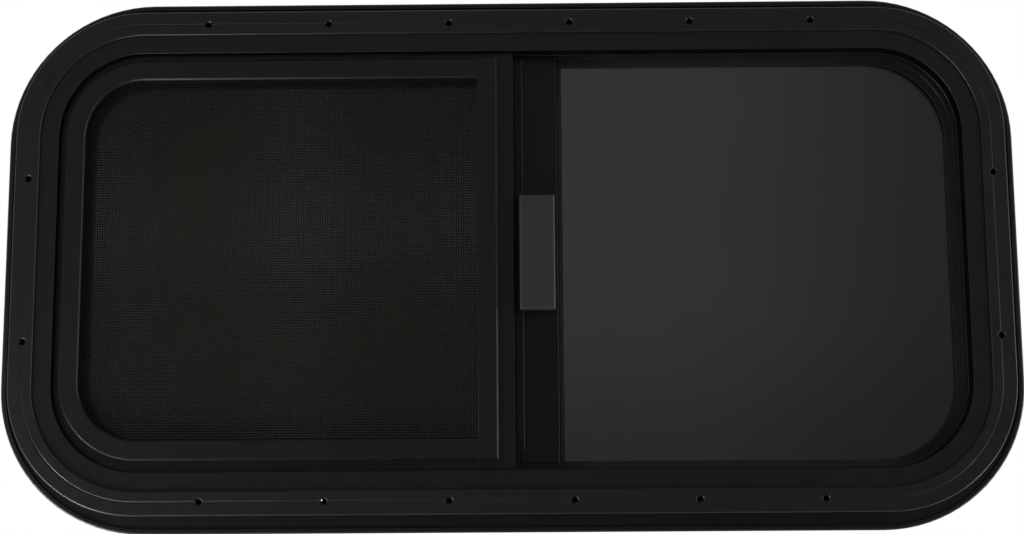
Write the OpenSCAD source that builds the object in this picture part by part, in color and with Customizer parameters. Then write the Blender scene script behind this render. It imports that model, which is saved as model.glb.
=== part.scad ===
// Horizontal sliding window for a caravan wall, with rounded corners and a clamp ring inside.
// It is drawn seen from inside the caravan, in three layers of one bent aluminium profile:
// an insect screen nearest the room, a sliding pane behind it and a fixed pane outside.
// The origin is the middle of the window, on the face of the outer flange that meets the wall.
// The room is towards -Y and the outdoors towards +Y.

/* [Opening] */
// Width of the body that passes through the wall
body_w = 762; // [620:1:1000]
// Height of the body that passes through the wall
body_h = 383; // [330:1:560]
// Outer corner radius of the body
body_r = 94; // [78:1:115]
// Thickness of the wall that the flange and the clamp ring grip
wall_t = 28; // [27:0.5:40]

/* [Main frame] */
// Width of the flange outside the body
flange_w = 20.2; // [14:0.1:30]
// Thickness of the flange
flange_t = 3.2; // [2.4:0.1:5]
// Width of the raised rim along the flange's edge
rim_w = 4.2; // [3:0.1:8]
// Depth of the sealant recess inside the rim
rim_step = 1.6; // [0.5:0.1:1.8]
// Thickness of the profile's walls
skin = 1.8; // [1.4:0.1:2.4]
// Distance from the body's face in to the floor of the tracks
track_floor = 20; // [17:0.5:24]
// Distance from the body's face in to the edge of the inner lip
lip_edge = 27.5; // [26:0.5:32]
// Distance from the body's face in to the edges of the two track fins
fin_edge = 28.8; // [27:0.1:33]
// Thickness of the track fins
fin_t = 1.5; // [1:0.1:2.5]
// Distance from the body's face in to the edge of the outer glazing lip
glazing_edge = 32.5; // [29:0.5:36]
// Width of the track that the sliding pane runs in
slide_track = 12; // [11:0.1:14]
// Length of each weep slot in the sill
weep_l = 24; // [10:1:40]
// Height of each weep slot in the sill
weep_h = 3.2; // [2:0.1:5]

/* [Clamp ring] */
// How far the ring reaches over the wall outside the body
ring_over = 5.4; // [4:0.1:12]
// Width of the ring
ring_w = 18.7; // [15:0.1:26]
// Thickness of the ring
ring_t = 2; // [1.5:0.1:3]
// Distance from the body's face in to the line of screws
screw_inset = 5; // [4.5:0.1:6]
// Diameter of the screw holes
screw_d = 4.6; // [3.6:0.1:5.2]
// Diameter of each countersink at the ring's face
sink_d = 6.4; // [5.6:0.1:8]
// Depth of each countersink
sink_t = 0.9; // [0.5:0.1:1.2]
// Distance between screws along the top and bottom
screw_pitch = 95; // [70:1:120]
// Number of screws along the top, and along the bottom
screws_across = 6; // [4:2:8]
// Distance between the two screws on each side
side_pitch = 127.5; // [80:0.5:160]
// Width of the slit where the bent ring's two ends meet
ring_slit = 0.3; // [0.2:0.1:1]
// Width of the ring's bevelled edges
ring_bevel = 0.8; // [0.4:0.1:1.2]
// Width of the drill guide, a groove along the screw line
guide_w = 1.8; // [0.8:0.1:2.4]
// Depth of the drill guide
guide_t = 0.6; // [0.3:0.1:1]

/* [Glass] */
// Thickness of both panes
glass_t = 4; // [3:0.5:5]
// Thickness of the glazing seal's legs beside the fixed pane
seal_leg = 1.25; // [1:0.05:2]
// Distance from the body's face in to the visible edge of the glazing seal
seal_edge = 34.2; // [33:0.1:40]
// Thickness of the seal's web under the fixed pane's edge
seal_web = 2.5; // [1.5:0.1:4]

/* [Middle] */
// Width of the gap between the screen and the stile's raised face, which a brush closes
brush_gap = 4.1; // [3:0.1:8]
// Width of the sliding pane's stile
stile_w = 39.3; // [34:0.1:50]
// Width of the low leg that holds the pane, left of the stile's raised face
stile_leg = 9; // [7:0.5:14]
// Depth of the glass in the stile
stile_bite = 10; // [7:0.5:14]
// How far the raised face stands above the low leg
stile_step = 1.2; // [0.6:0.1:2]
// Thickness of the stile's walls
stile_wall = 1.6; // [1.2:0.1:2.2]
// Thickness of the rubber between the sliding pane and its stile
stile_seal = 1; // [0.6:0.1:1.3]
// Width of the fixed mullion outside the stile
mullion_w = 25; // [20:0.5:34]
// How far the mullion shows past the stile's right edge
mullion_show = 2.4; // [0.5:0.1:5]
// Depth of the fixed pane in the mullion
mullion_bite = 9; // [7:0.5:12]
// How far the glazing seal shows past the mullion
seal_show = 1.8; // [0.5:0.1:4]
// Distance of the brush rib from the left edge of the stile's raised face
rib_in = 1.4; // [1:0.1:4]
// Thickness of the brush rib
rib_w = 1.9; // [1.2:0.1:3]
// Height of the brush rib above the low leg
rib_h = 6; // [4:0.1:8]
// Width of the handle
handle_w = 27.5; // [20:0.5:29]
// Height of the handle
handle_h = 89.5; // [50:0.5:140]
// How far the handle stands out from the stile's raised face
handle_t = 14.8; // [11:0.1:20]
// Height of the handle's middle above the middle of the window
handle_z = 3.5; // [-60:0.1:60]
// Width of the chamfer round the handle's face
handle_chamfer = 1.2; // [0.5:0.1:3]

/* [Insect screen] */
// Width of the screen rail's raised face
rail_w = 15.6; // [12:0.1:22]
// Width of the thin lip that runs in the track, at the bent rail
rail_lip = 12.2; // [8:0.1:14]
// Thickness of the lip
rail_lip_t = 4.5; // [3:0.1:6]
// Thickness of the rail at its raised face
rail_t = 10.2; // [7:0.1:11]
// Left edge of the screen's straight stile, from the middle of the window
screen_stile_x = -25.5; // [-60:0.1:0]
// Width of the thin lip beside the straight stile's raised face
screen_stile_lip = 12.6; // [8:0.1:18]
// Height of the feet under the screen
screen_foot_h = 4.1; // [2:0.1:5]
// Thickness of the mesh panel
mesh_t = 0.6; // [0.4:0.1:1]
// Diameter of the cord that holds the mesh in its groove
spline_d = 3.4; // [2.5:0.1:4]

/* [Clearances] */
// Between the screen and its track, at the top
screen_top_gap = 1.3; // [0.6:0.1:3]
// Between the screen and its track, at the left end
screen_end_gap = 0.5; // [0.4:0.1:4]
// Between the screen's lip and the track's walls
screen_side_gap = 1.2; // [0.6:0.1:2]
// Between the sliding pane and the lining of its track, round its edge
pane_gap = 1.2; // [0.6:0.1:3]
// Between the stile and the walls of its track
stile_gap = 1.5; // [1.2:0.1:2]

/* [Hidden] */
$fn = 96;

half_w = body_w / 2;
half_h = body_h / 2;
eps = 0.01;
cut = 1;
edge_bevel = 0.4;
end_gap = 0.1;

// Depths, counted from the flange's seat towards the room
pocket_t = glass_t + 2 * seal_leg;
pocket_mid = -1.2;
glazing_out = pocket_mid - pocket_t / 2;
glazing_in = glazing_out + pocket_t;
frame_out = glazing_out - skin;
glass_out = glazing_out + seal_leg;
slide_out = glazing_in + fin_t;
slide_in = slide_out + slide_track;
screen_out = slide_in + fin_t;
screen_in = wall_t - skin;
frame_in = wall_t;
ring_face = frame_in + ring_t;

// Left edges of the stile's raised face and of the stile, which follow the screen
screen_right = screen_stile_x + rail_w + screen_stile_lip;
stile_face_x = screen_right + brush_gap;
stile_x = stile_face_x - stile_leg;

// Flange, outer face and weep slots
rim_bevel = 1.2;
outer_bevel = 1.2;
lip_bevel = 0.8;
slope_from = 3;
slope_to = -2;
slide_weeps = [-0.62, -0.22, 0.45];
screen_weeps = [-0.62, -0.22];
outer_weeps = [-0.42, 0.25];
weep_in = 2;
weep_lift = 3;

// Tracks
lane_floor = -track_floor;
liner_t = 1;
liner_leg = 0.9;
liner_short = 1;
pane_edge = track_floor + liner_t + pane_gap;
pane_out = (slide_out + slide_in - glass_t) / 2;
pane_right = stile_x + stile_bite - stile_seal;
glide_h = pane_gap;
glide_l = 40;
glide_inset = 25;
glide_x = [body_r - half_w + glide_inset, pane_right - glide_inset - glide_l];

// Screw line of the clamp ring
screw_x = half_w - screw_inset;
screw_z = half_h - screw_inset;
slot_w = 3.2;
boss_l = 11;

// Sliding stile and fixed mullion
stile_right = stile_x + stile_w;
stile_out = slide_out + stile_gap;
stile_in = slide_in - stile_gap;
stile_top = half_h - track_floor - liner_t - pane_gap;
stile_face = stile_in + stile_step;
face_drop = 4.2;
face_top = half_h - fin_edge - face_drop;
rib_face = stile_in + rib_h;
rib_drop = 5.5;
rib_lift = 15.5;
rib_top = half_h - lip_edge - rib_drop;
rib_bottom = lip_edge + rib_lift - half_h;
mullion_x = stile_right + mullion_show - mullion_w;
fixed_left = mullion_x + mullion_w - mullion_bite;
fixed_r = body_r - track_floor - seal_web;
mullion_play = 0.4;
mullion_in = slide_out - mullion_play;
pocket_x = fixed_left - seal_web;
channel_z = half_h - track_floor;
lip_z = half_h - glazing_edge - end_gap;
fin_z = half_h - fin_edge - end_gap;
clip_l = 12;
clip_t = 1.5;
clip_w = pocket_x - mullion_x - 2 * skin;
cap_h = 3;
plug_l = 12;
pile_w = 3;
pile_end = 0.5;
rib_play = 0.3;
pile_play = 0.4;
pile_l = brush_gap + rib_in - rib_play;
rib_right = stile_face_x + rib_in + rib_w;
handle_in = 0.4;
handle_x = stile_face_x + handle_in;
grip_r = 7;
grip_in = 3;
grip_end = 8;
grip_low = 1;

// Screen
screen_left = -half_w + track_floor + screen_end_gap;
screen_top = half_h - track_floor - screen_top_gap;
screen_bottom = -half_h + track_floor + screen_foot_h;
screen_mid = (screen_top + screen_bottom) / 2;
screen_half = (screen_top - screen_bottom) / 2;
screen_r = body_r - track_floor - screen_end_gap;
lip_out = screen_out + screen_side_gap;
rail_out = lip_out;
rail_face = rail_out + rail_t;
face_end = screen_stile_x + rail_w;
rail_bevel = 1.2;
joint_bevel = 0.5;
cord_sides = 24;
groove_w = 3.6;
groove_t = 3.2;
groove_in = 4;
mesh_trim = 0.5;
cord_in = groove_in + groove_w / 2;
cord_half = screen_half - rail_lip - rail_w + cord_in;
cord_t = rail_out + groove_t - spline_d / 2;
foot_l = 30;
foot_inset = 20;
foot_x = [screen_left + screen_r + foot_inset, screen_stile_x - foot_inset - foot_l];

// Stands a drawing of the window plane upright, with its depth towards the room
module upright() rotate([90, 0, 0]) children();

// One flat stretch of a section: from o0 to o1 outwards of the body's face, and from t0 to t1 in depth
module span(o0, o1, t0, t1) translate([o0, t0]) square([o1 - o0, t1 - t0]);

// A stretch of a section whose free edge, at o0, is bevelled on both sides
module bevelled_fin(o0, o1, t0, t1) polygon([
    [o0, t0 + edge_bevel], [o0 + edge_bevel, t0], [o1, t0],
    [o1, t1], [o0 + edge_bevel, t1], [o0, t1 - edge_bevel]
]);

// Bends a section round the window: x of the section is the distance outwards of the body's face
module bend_round() {
    for (k = [0:3])
        mirror([k == 1 || k == 2 ? 1 : 0, 0, 0]) mirror([0, k > 1 ? 1 : 0, 0])
            translate([half_w - body_r, half_h - body_r, 0])
                rotate_extrude(angle = 90) translate([body_r, 0]) children();
    for (s = [0, 1]) mirror([s, 0, 0])
        translate([half_w, half_h - body_r, 0]) rotate([90, 0, 0])
            linear_extrude(2 * (half_h - body_r)) children();
    for (s = [0, 1]) mirror([0, s, 0])
        translate([body_r - half_w, half_h, 0]) rotate([90, 0, 90])
            linear_extrude(2 * (half_w - body_r)) children();
}

// A rounded plate: half width, half height and corner radius
module rounded_plate(x, z, r) {
    for (i = [-1, 1], j = [-1, 1]) translate([i * (x - r), j * (z - r)]) circle(r);
    square([2 * x, 2 * (z - r)], center = true);
    square([2 * (x - r), 2 * z], center = true);
}

// A slab of the window plane between two depths
module slab(t0, t1) translate([0, 0, t0]) linear_extrude(t1 - t0) children();

// Everything between two x positions
module between(x0, x1) translate([x0, -half_h]) square([x1 - x0, body_h]);

// The extruded profile of the main frame
module frame_section() {
    // flange with its rim, and the outer face that slopes up to the glazing lip
    polygon([
        [flange_w, -rim_bevel], [flange_w - rim_bevel, 0], [flange_w - rim_w, 0],
        [flange_w - rim_w, -rim_step], [-eps, -rim_step], [-skin, glazing_out],
        [-glazing_edge, glazing_out], [-glazing_edge, frame_out + lip_bevel],
        [lip_bevel - glazing_edge, frame_out], [slope_to, frame_out], [slope_from, -flange_t],
        [flange_w - outer_bevel, -flange_t], [flange_w, outer_bevel - flange_t]
    ]);
    // body wall, track floor and inner face with the screw slot
    span(-skin, 0, -flange_t, frame_in);
    span(lane_floor, lane_floor + skin, glazing_out - eps, frame_in);
    span(slot_w / 2 - screw_inset, 0, screen_in, frame_in);
    bevelled_fin(-lip_edge, -slot_w / 2 - screw_inset, screen_in, frame_in);
    // the two legs of the screw channel
    span(-slot_w / 2 - screw_inset - skin, -slot_w / 2 - screw_inset, frame_in - boss_l, frame_in);
    span(slot_w / 2 - screw_inset, slot_w / 2 - screw_inset + skin, frame_in - boss_l, frame_in);
    // fins between the tracks
    bevelled_fin(-fin_edge, lane_floor + eps, glazing_in, slide_out);
    bevelled_fin(-fin_edge, lane_floor + eps, slide_in, screen_out);
}

// Slots in the sill that let water out of the tracks
module weep_slots() {
    for (x = slide_weeps * half_w)
        translate([x - weep_l / 2, track_floor - half_h - skin - cut, slide_out + weep_in])
            cube([weep_l, skin + 2 * cut, weep_h]);
    for (x = screen_weeps * half_w)
        translate([x - weep_l / 2, track_floor - half_h - skin - cut, screen_out + weep_in])
            cube([weep_l, skin + 2 * cut, weep_h]);
    for (x = outer_weeps * half_w)
        translate([x - weep_l / 2, skin + weep_lift - half_h, frame_out - cut])
            cube([weep_l, weep_h, skin + 2 * cut]);
}

module main_frame() color("#1c1c1d") upright() difference() {
    bend_round() frame_section();
    weep_slots();
}

// Places of the ring's screws in the window plane
function screw_places() = concat(
    [for (s = [1, -1], i = [0:screws_across - 1])
        [(i - (screws_across - 1) / 2) * screw_pitch, s * screw_z]],
    [for (s = [-1, 1], j = [1, -1]) [s * screw_x, j * side_pitch / 2]]
);

// The ring's section, with bevelled edges and a drill guide along the screw line
module ring_section() {
    edge_in = ring_over - ring_w;
    polygon([
        [edge_in, frame_in], [ring_over, frame_in],
        [ring_over, ring_face - ring_bevel], [ring_over - ring_bevel, ring_face],
        [guide_w / 2 - screw_inset, ring_face], [-screw_inset, ring_face - guide_t],
        [-guide_w / 2 - screw_inset, ring_face],
        [edge_in + ring_bevel, ring_face], [edge_in, ring_face - ring_bevel]
    ]);
}

module trim_ring() color("#222223") upright() difference() {
    bend_round() ring_section();
    for (p = screw_places()) translate([p[0], p[1], frame_in - cut]) {
        cylinder(d = screw_d, h = ring_t + 2 * cut);
        translate([0, 0, ring_t + cut - sink_t])
            cylinder(d1 = screw_d, d2 = sink_d + (sink_d - screw_d) / sink_t * cut, h = sink_t + cut);
    }
    translate([-half_w - ring_over - cut, -ring_slit / 2, frame_in - cut])
        cube([ring_w + 2 * cut, ring_slit, ring_t + 2 * cut]);
}

// Outline of the fixed pane, with its left edge straight in the mullion
module fixed_outline() intersection() {
    rounded_plate(half_w - track_floor - seal_web, half_h - track_floor - seal_web, fixed_r);
    between(fixed_left, half_w);
}

module fixed_glass() color("#2f352f", 0.6) upright() slab(glass_out, glass_out + glass_t) fixed_outline();

// A rubber channel round the fixed pane's edge
module fixed_glass_seal() color("#101010") upright() difference() {
    slab(glazing_out, glazing_in) intersection() {
        rounded_plate(half_w - track_floor, half_h - track_floor, body_r - track_floor);
        between(pocket_x, half_w);
    }
    slab(glazing_out - cut, glazing_in + cut) intersection() {
        rounded_plate(half_w - seal_edge, half_h - seal_edge, body_r - seal_edge);
        between(mullion_x + mullion_w + seal_show, half_w);
    }
    slab(glass_out, glass_out + glass_t) fixed_outline();
}

// The fixed mullion: a channel that holds the fixed pane's left edge, with an outer face between the lips
module centre_mullion() color("#1c1c1d") upright() {
    slab(frame_out, glazing_out) translate([mullion_x, -lip_z]) square([mullion_w, 2 * lip_z]);
    slab(glazing_out, glazing_in) difference() {
        translate([mullion_x, -channel_z]) square([pocket_x - mullion_x, 2 * channel_z]);
        for (j = [0, 1]) mirror([0, j])
            translate([mullion_x + skin, channel_z - clip_l]) square([clip_w, clip_l]);
    }
    slab(glazing_in, mullion_in) {
        translate([mullion_x + pile_w + skin, -fin_z]) square([mullion_w - pile_w - skin, 2 * fin_z]);
        translate([mullion_x, -fin_z]) square([skin, 2 * fin_z]);
    }
}

// An angle clip that ties the mullion's end to the frame
module mullion_clip() translate([mullion_x + skin, -channel_z, glazing_out]) {
    cube([clip_w, clip_t, pocket_t]);
    cube([clip_w, clip_l, clip_t]);
}

module mullion_clip_top() color("#8d9092") upright() mirror([0, 1, 0]) mullion_clip();

module mullion_clip_bottom() color("#8d9092") upright() mullion_clip();

// Brush seal between the mullion and the sliding stile
module mullion_pile() color("#0c0c0c") upright()
    slab(glazing_in, stile_out)
        translate([mullion_x + skin, fin_edge + pile_end - half_h])
            square([pile_w, body_h - 2 * fin_edge - 2 * pile_end]);

// Lining of the sliding pane's track
module run_channel() color("#141414") upright() bend_round() {
    span(lane_floor - liner_t, lane_floor, slide_out, slide_in);
    span(liner_short - fin_edge, lane_floor - liner_t + eps, slide_out, slide_out + liner_leg);
    span(liner_short - fin_edge, lane_floor - liner_t + eps, slide_in - liner_leg, slide_in);
}

module sliding_outline() intersection() {
    rounded_plate(half_w - pane_edge, half_h - pane_edge, body_r - pane_edge);
    between(-half_w, pane_right);
}

module sliding_glass() color("#2f352f", 0.6) upright() slab(pane_out, pane_out + glass_t) sliding_outline();

// A bar's section whose two edges towards the room are bevelled
module bevelled_bar(x0, x1, t0, t1) polygon([
    [x0, t0], [x1, t0], [x1, t1 - edge_bevel], [x1 - edge_bevel, t1],
    [x0 + edge_bevel, t1], [x0, t1 - edge_bevel]
]);

// The hollow inside the stile's section
module stile_hollow() span(
    stile_x + stile_bite + stile_wall, stile_right - stile_wall,
    stile_out + stile_wall, stile_in - stile_wall
);

// Section of the sliding stile, drawn across its length
module stile_section() difference() {
    bevelled_bar(stile_x, stile_right, stile_out, stile_in);
    span(stile_x - cut, stile_x + stile_bite, pane_out - stile_seal, pane_out + glass_t + stile_seal);
    stile_hollow();
}

// Runs a section, drawn in x and depth, up the window from z0 to z1
module run_up(z0, z1) translate([0, z0, 0]) rotate([-90, 0, 0]) mirror([0, 1, 0])
    linear_extrude(z1 - z0) children();

// The sliding stile: a hollow bar with a low leg that holds the pane, a raised face, and a rib for the brush
module sliding_stile() color("#19191a") upright() {
    run_up(-stile_top + cap_h, stile_top - cap_h) stile_section();
    run_up(-face_top, face_top) bevelled_bar(stile_face_x, stile_right, stile_in - edge_bevel, stile_face);
    run_up(rib_bottom, rib_top) bevelled_bar(rib_right - rib_w, rib_right, stile_in - eps, rib_face);
}

// Rubber channel between the sliding pane and its stile
module sliding_stile_seal() color("#101010") upright()
    run_up(-stile_top + cap_h, stile_top - cap_h) difference() {
        span(stile_x, stile_x + stile_bite, pane_out - stile_seal, pane_out + glass_t + stile_seal);
        span(stile_x - cut, pane_right, pane_out, pane_out + glass_t);
    }

// Moulded plug that closes the stile's end and runs in the track
module stile_cap() {
    run_up(-stile_top, -stile_top + cap_h) difference() {
        span(stile_x, stile_right, stile_out, stile_in);
        span(stile_x - cut, stile_x + stile_bite, pane_out - end_gap, pane_out + glass_t + end_gap);
    }
    run_up(-stile_top + cap_h - eps, -stile_top + cap_h + plug_l) stile_hollow();
}

module stile_cap_top() color("#151515") upright() mirror([0, 1, 0]) stile_cap();

module stile_cap_bottom() color("#151515") upright() stile_cap();

// Low glide that carries the sliding pane in its lined track
module pane_glide(x) color("#202020") upright()
    slab(slide_out + liner_leg, slide_in - liner_leg)
        translate([x, -half_h + track_floor + liner_t]) square([glide_l, glide_h]);

module pane_glide_left() pane_glide(glide_x[0]);

module pane_glide_right() pane_glide(glide_x[1]);

// A bar's section with its two upper edges chamfered
module chamfered_bar(w, t, c) polygon([[0, 0], [w, 0], [w, t - c], [w - c, t], [c, t], [0, t - c]]);

// Pull handle on the stile's raised face: chamfered all round, with a finger hollow along its free side
// and a rebate behind that clears the brush rib
module handle() color("#2d2d2f") upright()
translate([handle_x, handle_z - handle_h / 2, stile_face]) difference() {
    intersection() {
        translate([0, handle_h, 0]) rotate([90, 0, 0])
            linear_extrude(handle_h) chamfered_bar(handle_w, handle_t, handle_chamfer);
        rotate([90, 0, 90]) linear_extrude(handle_w) chamfered_bar(handle_h, handle_t, handle_chamfer);
    }
    translate([handle_w + grip_r - grip_in, grip_end, handle_t / 2 - grip_low]) rotate([-90, 0, 0])
        cylinder(r = grip_r, h = handle_h - 2 * grip_end);
    translate([-cut, -cut, -cut]) cube([
        rib_right + rib_play - handle_x + cut, handle_h + 2 * cut, rib_face - stile_face + rib_play + cut
    ]);
}

// Bends a section round the screen's left part, with both ends a given length past the joint with the stile
module bend_screen(past = 0) translate([screen_left + screen_r, screen_mid, 0]) {
    corner_z = screen_half - screen_r;
    for (s = [0, 1]) mirror([0, s, 0]) {
        translate([0, corner_z, 0]) rotate([0, 0, 90])
            rotate_extrude(angle = 90) translate([screen_r, 0]) children();
        translate([0, screen_half, 0]) rotate([90, 0, 90])
            linear_extrude(screen_stile_x + past - screen_left - screen_r) children();
    }
    translate([-screen_r, corner_z, 0]) mirror([1, 0, 0]) rotate([90, 0, 0])
        linear_extrude(2 * corner_z) children();
}

// The rail's section: a thin lip outside, a raised face inside, and a groove at the back for the mesh
module rail_section() {
    inner = -rail_lip - rail_w;
    difference() {
        polygon([
            [0, lip_out], [0, lip_out + rail_lip_t], [-rail_lip, lip_out + rail_lip_t],
            [-rail_lip, rail_face - rail_bevel], [-rail_lip - rail_bevel, rail_face],
            [inner + rail_bevel, rail_face], [inner, rail_face - rail_bevel], [inner, rail_out]
        ]);
        span(inner + groove_in, inner + groove_in + groove_w, rail_out - cut, rail_out + groove_t);
    }
}

module screen_rail() color("#1d1d1e") upright() bend_screen() rail_section();

// Straight stile of the screen: its raised face lies beside a thin lip on the right
module screen_stile() color("#1d1d1e") upright() difference() {
    union() {
        run_up(screen_bottom, screen_top)
            span(screen_stile_x, screen_right, rail_out, lip_out + rail_lip_t);
        run_up(screen_bottom + rail_lip, screen_top - rail_lip) polygon([
            [screen_stile_x, lip_out + rail_lip_t - eps], [face_end, lip_out + rail_lip_t - eps],
            [face_end, rail_face - rail_bevel], [face_end - rail_bevel, rail_face],
            [screen_stile_x + joint_bevel, rail_face], [screen_stile_x, rail_face - joint_bevel]
        ]);
    }
    slab(rail_out - cut, rail_out + groove_t) translate([screen_stile_x, screen_mid])
        for (j = [0, 1]) mirror([0, j]) {
            translate([-cut, cord_half - groove_w / 2]) square([groove_in + groove_w + cut, groove_w]);
            translate([groove_in, -cut]) square([groove_w, cord_half + cut]);
        }
}

// The mesh panel as one thin sheet, held at its edge inside the grooves
module screen_mesh() color("#0f0f0f") upright()
    slab(rail_out - mesh_t, rail_out) screen_cut(groove_in + mesh_trim);

// Outline of what the screen's rails frame, grown outwards by a margin
module screen_cut(grow) {
    inset = rail_lip + rail_w - grow;
    x1 = screen_stile_x + grow;
    intersection() {
        translate([screen_left + screen_half * 2, screen_mid])
            rounded_plate(screen_half * 2 - inset, screen_half - inset, screen_r - inset);
        translate([screen_left, screen_bottom]) square([x1 - screen_left, 2 * screen_half]);
    }
}

// Cord pressed into the groove over the mesh, round all four sides
module screen_spline() color("#0d0d0d") upright() {
    bend_screen(cord_in + spline_d / 2) translate([cord_in - rail_lip - rail_w, cord_t])
        circle(d = spline_d, $fn = cord_sides);
    translate([screen_stile_x + cord_in, screen_mid - cord_half, cord_t]) rotate([-90, 0, 0])
        cylinder(d = spline_d, h = 2 * cord_half, $fn = cord_sides);
}

// Brush strip on the stile's rib, which closes the gap to the screen
module screen_pile() color("#0a0a0a") upright()
    run_up(rib_bottom, rib_top)
        span(rib_right - rib_w - pile_l, rib_right - rib_w, stile_face + pile_play, rib_face - pile_play);

// Foot that carries the screen in its track
module screen_foot(x) color("#202020") upright()
    slab(lip_out, lip_out + rail_lip_t)
        translate([x, -half_h + track_floor]) square([foot_l, screen_foot_h]);

module screen_foot_left() screen_foot(foot_x[0]);

module screen_foot_right() screen_foot(foot_x[1]);

main_frame();
trim_ring();
fixed_glass();
fixed_glass_seal();
centre_mullion();
mullion_clip_top();
mullion_clip_bottom();
mullion_pile();
run_channel();
sliding_glass();
sliding_stile();
sliding_stile_seal();
stile_cap_top();
stile_cap_bottom();
pane_glide_left();
pane_glide_right();
handle();
screen_rail();
screen_stile();
screen_mesh();
screen_spline();
screen_pile();
screen_foot_left();
screen_foot_right();
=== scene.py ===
# %% [markdown]
# # A caravan window in black aluminium and dark glass
# The window slides sideways and is seen from inside the caravan. Its construction is already done:
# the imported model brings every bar, pane, seal and ring as a solid at its real size.
# This lesson gives each of them its finish, weaves the insect mesh, sets the brush strip, and lights
# the whole as in the photograph.

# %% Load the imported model
import math

import bmesh
import bpy
from mathutils import Euler, Matrix, Vector


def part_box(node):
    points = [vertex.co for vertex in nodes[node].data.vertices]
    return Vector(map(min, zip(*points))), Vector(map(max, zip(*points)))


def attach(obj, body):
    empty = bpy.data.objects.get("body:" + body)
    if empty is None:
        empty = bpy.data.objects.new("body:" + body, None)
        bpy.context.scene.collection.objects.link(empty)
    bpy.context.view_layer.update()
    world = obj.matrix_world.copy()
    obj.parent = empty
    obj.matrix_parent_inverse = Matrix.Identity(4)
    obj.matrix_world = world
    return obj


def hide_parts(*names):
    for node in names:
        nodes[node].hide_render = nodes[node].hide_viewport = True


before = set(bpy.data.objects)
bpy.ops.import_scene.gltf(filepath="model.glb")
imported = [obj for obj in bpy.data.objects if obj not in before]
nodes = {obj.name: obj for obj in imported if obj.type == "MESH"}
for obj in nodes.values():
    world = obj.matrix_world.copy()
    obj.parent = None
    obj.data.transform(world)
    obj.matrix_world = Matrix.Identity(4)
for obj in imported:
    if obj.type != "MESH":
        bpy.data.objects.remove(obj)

bpy.context.scene.view_settings.view_transform = "Standard"
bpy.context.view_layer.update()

# %% [markdown]
# ## The camera
# The photograph was taken a little below the middle of the window, about 1.2 m in front of it, and
# looking up by 8 degrees. The place and the focal length come from fitting the rows of screw holes.

# %% Camera
FOCAL_PX, PHOTO_W, SENSOR_MM = 1519.2, 1024, 36
CAMERA_PLACE = (0.0089, -1.1915, -0.1692)
CAMERA_TILT = (7.873, 0.364, 0.429)

camera_data = bpy.data.cameras.new("photo_camera")
camera_data.sensor_width = SENSOR_MM
camera_data.lens = FOCAL_PX / PHOTO_W * SENSOR_MM
camera = bpy.data.objects.new("photo_camera", camera_data)
tilt = Euler([math.radians(a) for a in CAMERA_TILT], "XYZ").to_matrix().to_4x4()
looking_along_y = Matrix.Rotation(math.radians(90), 4, "X")
camera.matrix_world = Matrix.Translation(CAMERA_PLACE) @ tilt @ looking_along_y
bpy.context.collection.objects.link(camera)
bpy.context.scene.camera = camera
print("lens", round(camera_data.lens, 2), "mm")

# %% [markdown]
# ## Helpers for materials
# Every finish starts from the Principled shader and reads Object coordinates, which are metres on the
# window itself, so a grain of a given size is easy to ask for: a noise of scale 800 has features of
# about a millimetre. Small functions keep the node trees short to read. Most of a noise's values lie
# between 0.3 and 0.7, so that band is spread over the whole range of a tone or a roughness.

# %% Material helpers
NOISE_LOW, NOISE_HIGH = 0.3, 0.7


def grey(tone):
    """A neutral colour of one tone."""
    return tone, tone, tone


def material(name, colour, roughness, **sockets):
    """A new node material, its tree and its Principled shader, with plain numbers set on the sockets."""
    made = bpy.data.materials.new(name)
    made.use_nodes = True
    tree = made.node_tree
    shader = tree.nodes["Principled BSDF"]
    shader.inputs["Base Color"].default_value = (*colour, 1)
    shader.inputs["Roughness"].default_value = roughness
    for socket, value in sockets.items():
        shader.inputs[socket.replace("_", " ")].default_value = value
    return made, tree, shader


def node(tree, kind, **values):
    """A node of one kind, with its properties or its sockets set by name."""
    made = tree.nodes.new(kind)
    for name, value in values.items():
        if hasattr(made, name):
            setattr(made, name, value)
        else:
            made.inputs[name.replace("_", " ")].default_value = value
    return made


def noise(tree, scale, detail=2.0, stretch=(1, 1, 1)):
    """Noise on Object coordinates: scale is in features per metre, and stretch squeezes it by axis."""
    place = node(tree, "ShaderNodeTexCoord")
    mapping = node(tree, "ShaderNodeMapping", Scale=stretch)
    made = node(tree, "ShaderNodeTexNoise", Scale=scale, Detail=detail)
    tree.links.new(place.outputs["Object"], mapping.inputs["Vector"])
    tree.links.new(mapping.outputs["Vector"], made.inputs["Vector"])
    return made.outputs["Fac"]


def tinted(tree, shader, source, dark, light):
    """Lets a noise run the base colour between two tones."""
    ramp = node(tree, "ShaderNodeValToRGB")
    ramp.color_ramp.elements[0].position = NOISE_LOW
    ramp.color_ramp.elements[0].color = (*dark, 1)
    ramp.color_ramp.elements[1].position = NOISE_HIGH
    ramp.color_ramp.elements[1].color = (*light, 1)
    tree.links.new(source, ramp.inputs["Fac"])
    tree.links.new(ramp.outputs["Color"], shader.inputs["Base Color"])


def worn(tree, shader, source, low, high):
    """Lets a noise run the roughness between two values."""
    spread = node(tree, "ShaderNodeMapRange", From_Min=NOISE_LOW, From_Max=NOISE_HIGH,
                  To_Min=low, To_Max=high)
    tree.links.new(source, spread.inputs["Value"])
    tree.links.new(spread.outputs["Result"], shader.inputs["Roughness"])


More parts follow.
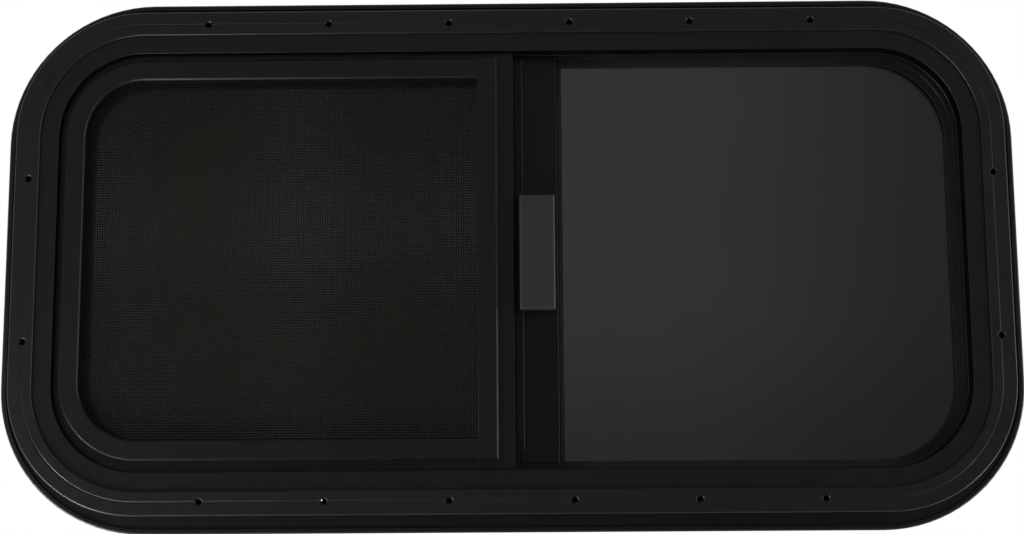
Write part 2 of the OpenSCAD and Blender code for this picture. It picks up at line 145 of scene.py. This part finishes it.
def grained(tree, shader, source, height, edge=0.0):
    """Bump of a given height in metres, on top of edges that are rounded to a given radius."""
    bump = node(tree, "ShaderNodeBump", Strength=1.0, Distance=height)
    tree.links.new(source, bump.inputs["Height"])
    if edge:
        rounding = node(tree, "ShaderNodeBevel", samples=6, Radius=edge)
        tree.links.new(rounding.outputs["Normal"], bump.inputs["Normal"])
    tree.links.new(bump.outputs["Normal"], shader.inputs["Normal"])


def dress(made, *names):
    """Puts a material on CAD nodes, in every slot they have."""
    for name in names:
        slots = nodes[name].data.materials
        for i in range(len(slots)):
            slots[i] = made
    print(made.name, "on", ", ".join(names))

# %% [markdown]
# ## Powder coat
# The bars, the ring and the screen's rails are aluminium with a black powder coat. It is baked on, so
# it is even in colour, softly satin, and it has a very fine orange peel: low bumps about a millimetre
# across. Along the bars' edges the coat rounds over and catches the light, which draws the bright
# lines of the photograph, so the shader rounds its normals there. The ring is given a touch lighter
# tone than the frame, and the sliding stile a deeper one.
# A very black coat shows mostly its gloss, so each finish is given by two numbers: its tone, and how
# much light its surface mirrors.

# %% Powder coat
SMOOTHEST, SATIN, ROUGHEST = 0.34, 0.38, 0.42
PEEL_SCALE, PEEL_HEIGHT, COAT_EDGE = 900, 0.00002, 0.0006


def powder_coat(name, tone, gloss):
    """A satin black coat whose base colour wanders a little round one tone."""
    made, tree, shader = material(name, grey(tone), SATIN, Specular_IOR_Level=gloss)
    tinted(tree, shader, noise(tree, 14, 3), grey(0.9 * tone), grey(1.1 * tone))
    worn(tree, shader, noise(tree, 90, 2), SMOOTHEST, ROUGHEST)
    grained(tree, shader, noise(tree, PEEL_SCALE, 1), PEEL_HEIGHT, edge=COAT_EDGE)
    return made


dress(powder_coat("black_powder_coat", 0.0022, 0.145),
      "main_frame", "centre_mullion", "screen_rail", "screen_stile")
dress(powder_coat("ring_powder_coat", 0.0034, 0.16), "trim_ring")
dress(powder_coat("dark_stile_coat", 0.0007, 0.13), "sliding_stile")

# %% [markdown]
# ## Glass
# Both panes are dark privacy glass with a grey-green tint. Almost no light comes through, and what
# the eye sees is mostly a soft, faintly green reflection of the room. A shader with full transmission
# does both, and a faint film makes its gloss a little uneven.

# %% Glass
GLASS_BODY, GLASS_SHEEN = (0.004, 0.0046, 0.0038), (0.9, 1.0, 0.86, 1)
CLEAN, USUAL, FILMED = 0.10, 0.13, 0.16

glass, tree, shader = material(
    "tinted_glass", GLASS_BODY, USUAL, Transmission_Weight=1.0, IOR=1.52,
    Specular_IOR_Level=0.8, Specular_Tint=GLASS_SHEEN,
)
worn(tree, shader, noise(tree, 12, 3), CLEAN, FILMED)
dress(glass, "fixed_glass", "sliding_glass")

# %% [markdown]
# ## Rubber
# Rubber is matt and a little dusty. The wiper on the sliding stile rubs on the glass, which polishes it,
# so it mirrors more light than the seals that lie still.

# %% Rubber
SKIN_HEIGHT, SOFT_EDGE = 0.00002, 0.0004


def rubber(name, tone, gloss):
    """Matt black rubber, a little dusty, with a fine skin."""
    made, tree, shader = material(name, grey(tone), 0.7, Specular_IOR_Level=gloss)
    light = 1.2 * tone
    tinted(tree, shader, noise(tree, 25, 3), grey(0.85 * tone), (light, light, 0.97 * light))
    grained(tree, shader, noise(tree, 1600, 2), SKIN_HEIGHT, edge=SOFT_EDGE)
    return made


dress(rubber("black_rubber", 0.005, 0.2), "fixed_glass_seal", "run_channel", "screen_spline")
dress(rubber("wiper_rubber", 0.012, 0.4), "sliding_stile_seal")

# %% [markdown]
# ## Nylon, steel and the handle
# Nylon is a little smoother than rubber, the clips are zinc-plated steel, and the handle is moulded in
# charcoal plastic, visibly lighter than the coat, with a fine grain. Only these few small parts need
# them, so each is made in place, from the same helpers.

# %% Nylon
nylon, tree, shader = material("black_nylon", grey(0.011), 0.5, Specular_IOR_Level=0.35)
tinted(tree, shader, noise(tree, 30, 2), grey(0.0095), grey(0.0125))
grained(tree, shader, noise(tree, 1200, 2), SKIN_HEIGHT, edge=SOFT_EDGE)
dress(nylon, "stile_cap_top", "stile_cap_bottom", "pane_glide_left", "pane_glide_right",
      "screen_foot_left", "screen_foot_right")

# %% Zinc-plated steel
zinc, tree, shader = material("zinc_steel", (0.5, 0.51, 0.52), 0.35, Metallic=1.0)
tinted(tree, shader, noise(tree, 120, 3), (0.42, 0.43, 0.44), (0.56, 0.57, 0.58))
worn(tree, shader, noise(tree, 400, 2), 0.28, 0.42)
dress(zinc, "mullion_clip_top", "mullion_clip_bottom")

# %% Handle and brush pile
GRAIN_HEIGHT, HANDLE_EDGE = 0.00003, 0.0008

grip, tree, shader = material("grey_plastic", (0.006, 0.006, 0.0062), 0.5, Specular_IOR_Level=0.35)
tinted(tree, shader, noise(tree, 20, 3), (0.0054, 0.0054, 0.0056), (0.0066, 0.0066, 0.0068))
grained(tree, shader, noise(tree, 2200, 2), GRAIN_HEIGHT, edge=HANDLE_EDGE)
dress(grip, "handle")

pile, tree, shader = material("brush_pile", grey(0.006), 0.85, Specular_IOR_Level=0.2)
tinted(tree, shader, noise(tree, 500, 2, (1, 1, 3)), grey(0.004), grey(0.009))
dress(pile, "mullion_pile", "screen_pile")

# %% [markdown]
# ## The insect mesh
# The mesh is woven from coated yarn about two thirds of a millimetre thick, about 2 mm apart, and the
# coating is fused where threads cross. An upright thread swings to the front of the mesh in one gap
# between cross threads and to the back in the next, and each starts the other way from its neighbour.
# In the solids the mesh is one thin sheet. Here every thread is real: one upright thread is extruded
# step by step, a pair of them is copied across, and the cross threads are straight rods. Threads
# beyond the rounded corners are cut off, where the cord holds them in the groove.

# %% One upright thread
PITCH_X, PITCH_Z, YARN = 0.0019, 0.00205, 0.00068
WAVE = 0.0003
low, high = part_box("screen_mesh")
middle_y = low[1] + WAVE + YARN / 2
across = round((high[0] - low[0] - YARN) / PITCH_X)
up = round((high[2] - low[2] - YARN) / PITCH_Z)


def upright_thread(bm, x, phase):
    """Extrudes a three-sided thread up the window, from the middle of one gap to the next."""
    ring = bmesh.ops.create_circle(bm, segments=3, radius=YARN / 2, cap_ends=True)["verts"]
    bmesh.ops.translate(bm, verts=ring, vec=(x, middle_y + phase * WAVE, low[2] + YARN / 2))
    edges = list({e for v in ring for e in v.link_edges})
    side = phase
    for _ in range(up):
        grown = bmesh.ops.extrude_edge_only(bm, edges=edges)["geom"]
        verts = [g for g in grown if isinstance(g, bmesh.types.BMVert)]
        edges = [g for g in grown if isinstance(g, bmesh.types.BMEdge)]
        bmesh.ops.translate(bm, verts=verts, vec=(0, -2 * side * WAVE, PITCH_Z))
        side = -side
    bmesh.ops.contextual_create(bm, geom=edges)


weave = bmesh.new()
upright_thread(weave, low[0] + YARN / 2, 1)
upright_thread(weave, low[0] + YARN / 2 + PITCH_X, -1)
print("a pair of threads has", len(weave.verts), "points")

# %% All the threads
pair = weave.verts[:] + weave.edges[:] + weave.faces[:]
for i in range(1, (across + 1) // 2):
    copy = bmesh.ops.duplicate(weave, geom=pair)["geom"]
    verts = [g for g in copy if isinstance(g, bmesh.types.BMVert)]
    bmesh.ops.translate(weave, verts=verts, vec=(2 * i * PITCH_X, 0, 0))
lying = Matrix.Rotation(math.radians(90), 4, "Y")
for j in range(up):
    bmesh.ops.create_cone(
        weave, segments=6, radius1=YARN / 2, radius2=YARN / 2, depth=high[0] - low[0], cap_ends=True,
        matrix=Matrix.Translation(
            ((low[0] + high[0]) / 2, middle_y, low[2] + YARN / 2 + (j + 0.5) * PITCH_Z)
        ) @ lying,
    )
print(across, "upright threads,", up, "cross threads,", len(weave.faces), "faces")

# %% [markdown]
# The panel's left corners follow the rail's bend, so the threads there are trimmed to the same arc,
# and their cut ends are closed again.

# %% Trim the corners
CORNER_R, SAME_PLACE = 0.0502, 1e-6


def past_straight(point):
    """How far a point lies above or below the straight part of the panel's left edge."""
    return max(point.z - high[2] + CORNER_R, low[2] + CORNER_R - point.z)


def beyond_corner(point):
    """How far a point lies outside the arc of the nearer left corner."""
    x, z = low[0] + CORNER_R - point.x, past_straight(point)
    return math.hypot(x, z) - CORNER_R if x > 0 and z > 0 else -1


outside = [v for v in weave.verts if beyond_corner(v.co) > 0]
rod_ends = {v for v in outside if abs(v.co.x - low[0]) < SAME_PLACE}
for v in rod_ends:
    z = min(past_straight(v.co), CORNER_R)
    v.co.x = low[0] + CORNER_R - math.sqrt(CORNER_R ** 2 - z ** 2)
bmesh.ops.delete(weave, geom=[v for v in outside if v not in rod_ends], context="VERTS")
open_edges = [e for e in weave.edges if e.is_boundary]
bmesh.ops.holes_fill(weave, edges=open_edges, sides=4)
bmesh.ops.recalc_face_normals(weave, faces=weave.faces[:])
still_open = sum(e.is_boundary for e in weave.edges)
print(len(open_edges) // 3, "thread ends trimmed and closed,", still_open, "open edges")

# %% [markdown]
# The finished bmesh becomes one object. It rides on the window and takes the place of the plain
# sheet. The coated yarn is matt and a warm near-black. From the room its tone is close to that of the
# glass behind it, so the weave shows only as a faint grain.

# %% Weave object and its yarn
def piece(bm, name, finish, slot, *replaced):
    """Makes an object of a bmesh, at the origin, that rides on the window."""
    mesh = bpy.data.meshes.new(name)
    bm.to_mesh(mesh)
    bm.free()
    mesh.materials.append(finish)
    made = bpy.data.objects.new(name, mesh)
    bpy.context.collection.objects.link(made)
    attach(made, "root")
    if replaced:
        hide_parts(*replaced)
    mesh.calc_loop_triangles()
    print(name, len(mesh.loop_triangles), "triangles")
    return made


YARN_TONE = (0.0064, 0.0053, 0.0044)
YARN_DARK, YARN_LIGHT = (0.0056, 0.0046, 0.0038), (0.0072, 0.006, 0.005)

yarn, tree, shader = material("insect_mesh", YARN_TONE, 0.4, Specular_IOR_Level=0.03)
tinted(tree, shader, noise(tree, 60, 3), YARN_DARK, YARN_LIGHT)
net = piece(weave, "woven_insect_mesh", yarn, "insect_mesh", "screen_mesh")

# %% [markdown]
# ## The brush strip
# A strip of short bristles closes the gap between the stile's rib and the screen. It is a row of tufts
# on the real window. Each bristle here is a thin three-sided cone, copied along the rib in five rows,
# with lengths and leans that differ a little.

# %% Bristles
import random

BRISTLE_GAP, ROWS = 0.0008, 5
ROOT_R, TIP_R = 0.00028, 0.00012
SHORTEST, LONGEST = 0.88, 0.99
SCATTER, LEAN = 0.2, 0.04
rng = random.Random(7)
low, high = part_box("screen_pile")
pointing_left = Matrix.Rotation(math.radians(-90), 4, "Y")
bristles = bmesh.new()
count = int((high[2] - low[2]) / BRISTLE_GAP)
for i in range(count):
    for j in range(ROWS):
        y = low[1] + (j + 0.5 + rng.uniform(-SCATTER, SCATTER)) / ROWS * (high[1] - low[1])
        z = low[2] + (i + 0.5 + rng.uniform(-SCATTER, SCATTER)) * BRISTLE_GAP
        length = (high[0] - low[0]) * rng.uniform(SHORTEST, LONGEST)
        lean = Matrix.Rotation(rng.uniform(-LEAN, LEAN), 4, "X")
        bmesh.ops.create_cone(
            bristles, segments=3, radius1=ROOT_R, radius2=TIP_R, depth=length, cap_ends=True,
            matrix=Matrix.Translation((high[0] - length / 2, y, z)) @ lean @ pointing_left,
        )
piece(bristles, "brush_strip", pile, "brush_pile", "screen_pile")

# %% [markdown]
# ## Which rays see the background
# What the camera sees behind the window is white, and so is what glass and metal show of it. That comes
# from the kind of ray: the Light Path node tells the camera's rays, those that came through glass and
# those that were mirrored from the rest, and only they get the white. So the background adds no light
# to the window. Mirrored rays that turn back into the room see the room, and the change between the two
# is gradual.

# %% Rays that see the background
ROOM_SIDE, FAR_SIDE = -0.1, 0.3


def larger(tree, one, other):
    """The larger of two values."""
    made = node(tree, "ShaderNodeMath", operation="MAXIMUM")
    tree.links.new(one, made.inputs[0])
    tree.links.new(other, made.inputs[1])
    return made.outputs["Value"]


def split(tree, output):
    """X, Y and Z of a texture coordinate: Object is a place, and Generated in a world is a direction."""
    place = node(tree, "ShaderNodeTexCoord")
    parts = node(tree, "ShaderNodeSeparateXYZ")
    tree.links.new(place.outputs[output], parts.inputs["Vector"])
    return parts


def shows_background(tree, parts):
    """Is 1 for the camera's rays, those through glass, and mirrored ones that end behind the window."""
    rays = node(tree, "ShaderNodeLightPath")
    behind = node(tree, "ShaderNodeMapRange", From_Min=ROOM_SIDE, From_Max=FAR_SIDE)
    mirrored = node(tree, "ShaderNodeMath", operation="MULTIPLY")
    tree.links.new(parts.outputs["Y"], behind.inputs["Value"])
    tree.links.new(rays.outputs["Is Glossy Ray"], mirrored.inputs[0])
    tree.links.new(behind.outputs["Result"], mirrored.inputs[1])
    through = larger(tree, rays.outputs["Is Transmission Ray"], mirrored.outputs["Value"])
    return larger(tree, rays.outputs["Is Camera Ray"], through)


# %% [markdown]
# ## Floor
# The floor is plain and pale, and lies well below, as under a window in a wall. It is a single face with
# a matt finish. A glow is added for the rays that see the background, over the shading and not in its
# place, so a shadow on the floor would still show.

# %% Floor
FLOOR_Z, FLOOR_REACH, GLOW = -0.75, 6, 0.85

floor_mesh = bpy.data.meshes.new("floor")
plane = bmesh.new()
bmesh.ops.create_grid(plane, x_segments=1, y_segments=1, size=FLOOR_REACH)
bmesh.ops.translate(plane, verts=plane.verts, vec=(0, 0, FLOOR_Z))
plane.to_mesh(floor_mesh)
plane.free()
floor = bpy.data.objects.new("floor", floor_mesh)
bpy.context.collection.objects.link(floor)
paper, tree, shader = material("pale_floor", grey(0.7), 0.9, Specular_IOR_Level=0.1)
glow = node(tree, "ShaderNodeEmission", Strength=GLOW)
both = node(tree, "ShaderNodeAddShader")
seen = node(tree, "ShaderNodeMixShader")
tree.links.new(shader.outputs["BSDF"], both.inputs[0])
tree.links.new(glow.outputs["Emission"], both.inputs[1])
tree.links.new(shows_background(tree, split(tree, "Object")), seen.inputs["Fac"])
tree.links.new(shader.outputs["BSDF"], seen.inputs[1])
tree.links.new(both.outputs["Shader"], seen.inputs[2])
tree.links.new(seen.outputs["Shader"], tree.nodes["Material Output"].inputs["Surface"])
floor_mesh.materials.append(paper)
print("floor at", FLOOR_Z)

# %% [markdown]
# ## Air
# The room's air is grey. It is lighter on the left and above than on the right and near the floor, and the
# panes mirror that as a soft change of tone. In a world, the Generated coordinate is the direction of
# the ray, so two ramps on its X and Z give the strength.

# %% World
LEFT_AIR, RIGHT_AIR, LOW_AIR, HIGH_AIR = 0.7, 0.33, 0.55, 1.0

world = bpy.data.worlds.new("studio")
bpy.context.scene.world = world
world.use_nodes = True
tree = world.node_tree
room = tree.nodes["Background"]
room.inputs["Color"].default_value = (1, 1, 1, 1)
white = node(tree, "ShaderNodeBackground", Color=(1, 1, 1, 1))
way = split(tree, "Generated")
rightward = node(tree, "ShaderNodeMapRange", From_Min=0.12, From_Max=0.26,
                 To_Min=LEFT_AIR, To_Max=RIGHT_AIR)
upward = node(tree, "ShaderNodeMapRange", From_Min=0.02, From_Max=0.09,
              To_Min=LOW_AIR, To_Max=HIGH_AIR)
tone = node(tree, "ShaderNodeMath", operation="MULTIPLY")
seen = node(tree, "ShaderNodeMixShader")
tree.links.new(way.outputs["X"], rightward.inputs["Value"])
tree.links.new(way.outputs["Z"], upward.inputs["Value"])
tree.links.new(rightward.outputs["Result"], tone.inputs[0])
tree.links.new(upward.outputs["Result"], tone.inputs[1])
tree.links.new(tone.outputs["Value"], room.inputs["Strength"])
tree.links.new(shows_background(tree, way), seen.inputs["Fac"])
tree.links.new(room.outputs["Background"], seen.inputs[1])
tree.links.new(white.outputs["Background"], seen.inputs[2])
tree.links.new(seen.outputs["Shader"], tree.nodes["World Output"].inputs["Surface"])
print("world", world.name, "with", len(tree.nodes), "nodes")

# %% [markdown]
# ## Lamps
# Soft boxes on the right, above and on the left light the faces. The others stand almost in the plane of
# the window, below and beside it. Hardly any of their light falls on the faces, but the rounded edges
# mirror them, which draws the bright lines along the bottom, round the corners and on the rails.

# %% Lamps
def lamp(name, place, target, size, power):
    """A soft lamp of a given width and height that faces a point."""
    data = bpy.data.lights.new(name, "AREA")
    data.shape = "RECTANGLE"
    data.size, data.size_y = size
    data.energy = power
    made = bpy.data.objects.new(name, data)
    aim = (Vector(target) - Vector(place)).to_track_quat("-Z", "Y").to_matrix().to_4x4()
    made.matrix_world = Matrix.Translation(place) @ aim
    bpy.context.collection.objects.link(made)
    print(name, power, "W")


lamp("right_softbox", (2.0, -1.3, 0.6), (0, 0, 0), (1, 1), 18)
lamp("top_softbox", (0, -1.0, 2.0), (0, 0, 0), (1.2, 1.2), 4)
lamp("left_softbox", (-1.2, -0.9, -0.15), (-0.3, 0, 0), (0.4, 0.4), 2.5)
lamp("low_left_strip", (-0.6, -0.1, -0.68), (-0.4, 0, 0), (1.0, 0.15), 7)
lamp("low_left_corner_light", (-0.95, -0.22, -0.6), (-0.1, 0, -0.1), (0.35, 0.25), 13.5)
lamp("low_right_corner_light", (0.95, -0.12, -0.55), (0.3, 0, -0.1), (0.3, 0.2), 4)
lamp("right_edge_light", (1.6, -0.2, -0.1), (0, 0, 0), (0.5, 0.5), 10)
